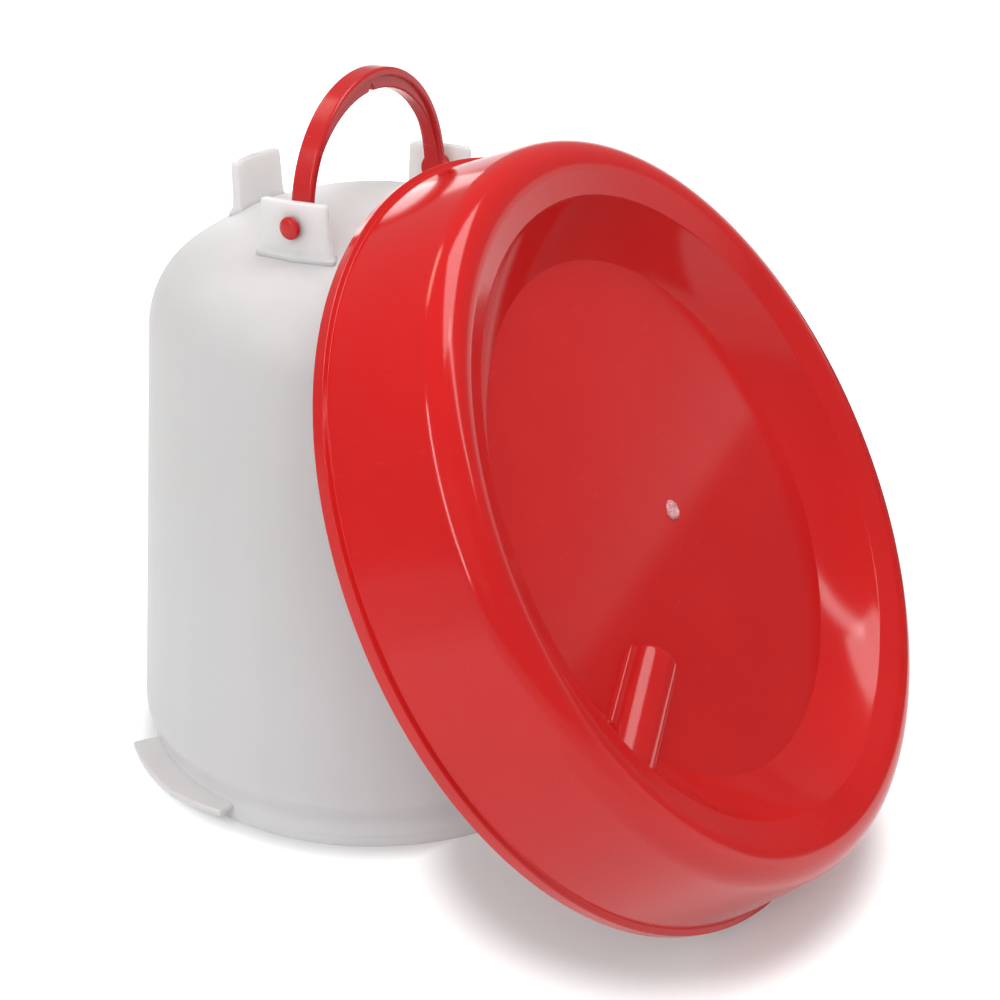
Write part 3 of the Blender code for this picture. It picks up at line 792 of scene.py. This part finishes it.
CLAW_AZIMUTH = 13.3
CLAW_SPAN = 14.0
CLAW_INNER = 98.0
CLAW_POST = 106.2
CLAW_OUTER = 108.4
CLAW_LOW = 31.4
CLAW_TOP = 34.6
CLAW_FOOT = 10.1
CLAW_FILLET = 0.8
CLAW_TIP_ROUND = 0.7
CLAW_BACK_ROUND = 1.6

claw_line = rounded([(CLAW_POST, CLAW_FOOT, 0), (CLAW_POST, CLAW_LOW, CLAW_FILLET),
                     (CLAW_INNER, CLAW_LOW, CLAW_TIP_ROUND), (CLAW_INNER, CLAW_TOP, CLAW_TIP_ROUND),
                     (CLAW_OUTER, CLAW_TOP, CLAW_BACK_ROUND), (CLAW_OUTER, CLAW_FOOT, 0)])
for number in range(3):
    degrees = CLAW_AZIMUTH + 120 * number + CLAW_SPAN * (np.linspace(0, 1, 15) - 0.5)
    rows = capped(swept(claw_line, degrees))
    claw = skin(f"tray_claw_{number}", placed(rows, tray_place), tray_red, "tray")


# Floor
# A pale studio floor. It glows for the rays that look at it, so that it is white in the picture, and
# glows less next to the jar and under the tray, where it keeps their shadows. Its lengths are metres,
# and the tray's shade ends between two shares of its size.

FLOOR_REACH = 6.0
FLOOR_PAINT = (0.68, 0.70, 0.70, 1.0)
JAR_SHADE = (0.094, 0.108)
TRAY_SHADE_MIDDLE = (0.075, -0.005, 0.0)
TRAY_SHADE_SIZE = (0.075, 0.080)
TRAY_SHADE_EDGE = (0.95, 1.3)
FAR_FLOOR = (0.3, 1.2)
GLOW_IN_SHADE = (0.15, 0.15, 0.15)
GLOW_NEAR = (0.74, 0.74, 0.74)
GLOW_FAR = (0.9, 0.9, 0.9)


def sheet(name, corners, material):
    """A flat sheet of the studio, from its four corners in metres."""
    mesh = bpy.data.meshes.new(name)
    mesh.from_pydata(corners, [], [(0, 1, 2, 3)])
    mesh.materials.append(material)
    obj = bpy.data.objects.new(name, mesh)
    bpy.context.scene.collection.objects.link(obj)
    return obj


floor_white, shader, place = new_material("floor_white")
seen = place.node("ShaderNodeLightPath", output="Is Camera Ray")
seen = seen + place.node("ShaderNodeLightPath", output="Is Glossy Ray")
seen = seen + place.node("ShaderNodeLightPath", output="Is Transmission Ray")
jar_gap = (place - (JAR_X * MILLIMETRE, JAR_Y * MILLIMETRE, 0.0)).length().clamp(*JAR_SHADE)
tray_size = (1 / TRAY_SHADE_SIZE[0], 1 / TRAY_SHADE_SIZE[1], 1.0)
tray_gap = ((place - TRAY_SHADE_MIDDLE) * tray_size).length().clamp(*TRAY_SHADE_EDGE)
near_glow = jar_gap.smaller(tray_gap).blend(GLOW_IN_SHADE, GLOW_NEAR)
glow = place.length().clamp(*FAR_FLOOR).blend(near_glow, GLOW_FAR)
feed(shader, Base_Color=FLOOR_PAINT, Roughness=0.9, Specular_IOR_Level=0.1,
     Emission_Color=seen.smaller(1.0).blend((0, 0, 0), glow), Emission_Strength=1.0)
sheet("floor", [(-FLOOR_REACH, -FLOOR_REACH, 0), (FLOOR_REACH, -FLOOR_REACH, 0),
                (FLOOR_REACH, FLOOR_REACH, 0), (-FLOOR_REACH, FLOOR_REACH, 0)], floor_white)


# Room
# A photographic studio, lit all round. Its walls are white at the level of the floor's far edge, and
# it is dimmer overhead, so that the object's upper faces don't mirror white.

ROOM_WHITE = (1.0, 1.0, 1.0)
ROOM_DIM = (0.36, 0.36, 0.36)
ROOM_RISE = (0.09, 0.22)

world = bpy.data.worlds.new("studio")
world.use_nodes = True
tree = world.node_tree
sight = Signal(tree, tree.nodes.new("ShaderNodeTexCoord").outputs["Generated"])
feed(tree.nodes["Background"], Color=sight.up().clamp(*ROOM_RISE).blend(ROOM_WHITE, ROOM_DIM))
bpy.context.scene.world = world


# Lamps
# Soft rectangles round the object: a large one above, narrow ones that draw the long highlights on the
# tray and the handle, a small warm one behind, and a broad fill in front that reflections don't show.

SUBJECT = Vector((20.0, 0.0, 130.0))
WHITE_LIGHT = (1.0, 1.0, 1.0)
WARM_LIGHT = (1.0, 0.74, 0.60)


def softbox(name, azimuth, elevation, distance, size, radiance, colour=WHITE_LIGHT, slant=0.0):
    """A plain rectangular lamp that faces the object.

    Its direction is given by azimuth and elevation in degrees, and its size in
    millimetres. Its power is pi times its area times its radiance, so that a
    mirror would show it at that strength. A slant turns it in its own plane.
    """
    data = bpy.data.lights.new(name, "AREA")
    data.shape = "RECTANGLE"
    data.size, data.size_y = size[0] * MILLIMETRE, size[1] * MILLIMETRE
    data.energy = math.pi * data.size * data.size_y * radiance
    data.color = colour
    across, lift = math.radians(azimuth), math.radians(elevation)
    arm = Vector((math.cos(lift) * math.cos(across), math.cos(lift) * math.sin(across), math.sin(lift)))
    lamp = bpy.data.objects.new(name, data)
    lamp.location = (SUBJECT + arm * distance) * MILLIMETRE
    aim = (-arm).to_track_quat("-Z", "Y").to_matrix() @ Matrix.Rotation(math.radians(slant), 3, "Z")
    lamp.rotation_euler = aim.to_euler()
    bpy.context.scene.collection.objects.link(lamp)
    return lamp


softbox("above", 60, 74, 1300, (760, 560), 5.6)
softbox("front_left", -108, 32, 1250, (1050, 75), 17.0, slant=-42)
softbox("window", 136, 15, 1200, (330, 330), 2.0)
softbox("warm_card", 172, 53, 1200, (360, 170), 6.5, WARM_LIGHT)
softbox("right", 20, 52, 1200, (90, 700), 7.0)
fill = softbox("front_fill", -70, 38, 1600, (1100, 900), 2.0)
fill.visible_glossy = False


# Dark card
# A grey board that hangs past the picture's right edge, so that the gloss of the tray's recess
# mirrors it and not the white floor. Only reflections and light through a piece show it. Its places
# are metres.

CARD_GREY = (0.22, 0.21, 0.21, 1.0)
CARD_NEAR = (0.37, 0.11)
CARD_FAR = (0.02, 0.34)
CARD_LOW, CARD_TOP = 0.03, 0.165

card_grey, shader, place = new_material("card_grey")
feed(shader, Base_Color=CARD_GREY, Roughness=0.9)
card = sheet("dark_card", [(*CARD_FAR, CARD_LOW), (*CARD_NEAR, CARD_LOW), (*CARD_NEAR, CARD_TOP),
                           (*CARD_FAR, CARD_TOP)], card_grey)
card.visible_camera = False
card.visible_diffuse = False
card.visible_shadow = False


# Camera
# It stands where the photograph was taken, measured from the foot of the jar's axis, and looks along a
# level heading that is pitched down and rolled a little. Its lens is a length in picture pixels.

CAMERA = (287.4, -478.6, 357.6)
CAMERA_PITCH = 26.63
CAMERA_ROLL = -1.03
CAMERA_HEADING = Vector((-0.432, 0.902, 0))
FOCAL_PIXELS = 1544.0
PICTURE_PIXELS = 1000.0
SENSOR_WIDTH = 36.0
SHIFT_X, SHIFT_Y = -0.012, 0.044
NEAREST_SEEN_METRES = 0.01

level = CAMERA_HEADING.normalized()
pitch = math.radians(CAMERA_PITCH)
forward = level * math.cos(pitch) - Vector((0, 0, math.sin(pitch)))
right = Matrix.Rotation(math.radians(CAMERA_ROLL), 3, forward) @ level.cross(Vector((0, 0, 1)))
up = right.cross(forward)
camera_data = bpy.data.cameras.new("camera")
camera_data.sensor_width = SENSOR_WIDTH
camera_data.lens = SENSOR_WIDTH * FOCAL_PIXELS / PICTURE_PIXELS
camera_data.shift_x, camera_data.shift_y = SHIFT_X, SHIFT_Y
camera_data.clip_start = NEAREST_SEEN_METRES
camera = bpy.data.objects.new("camera", camera_data)
spot = (Vector(CAMERA) + Vector((JAR_X, JAR_Y, 0))) * MILLIMETRE
camera.matrix_world = Matrix.Translation(spot) @ Matrix((right, up, -forward)).transposed().to_4x4()
bpy.context.scene.collection.objects.link(camera)
bpy.context.scene.camera = camera
bpy.context.scene.view_settings.view_transform = "Standard"

bpy.context.view_layer.update()
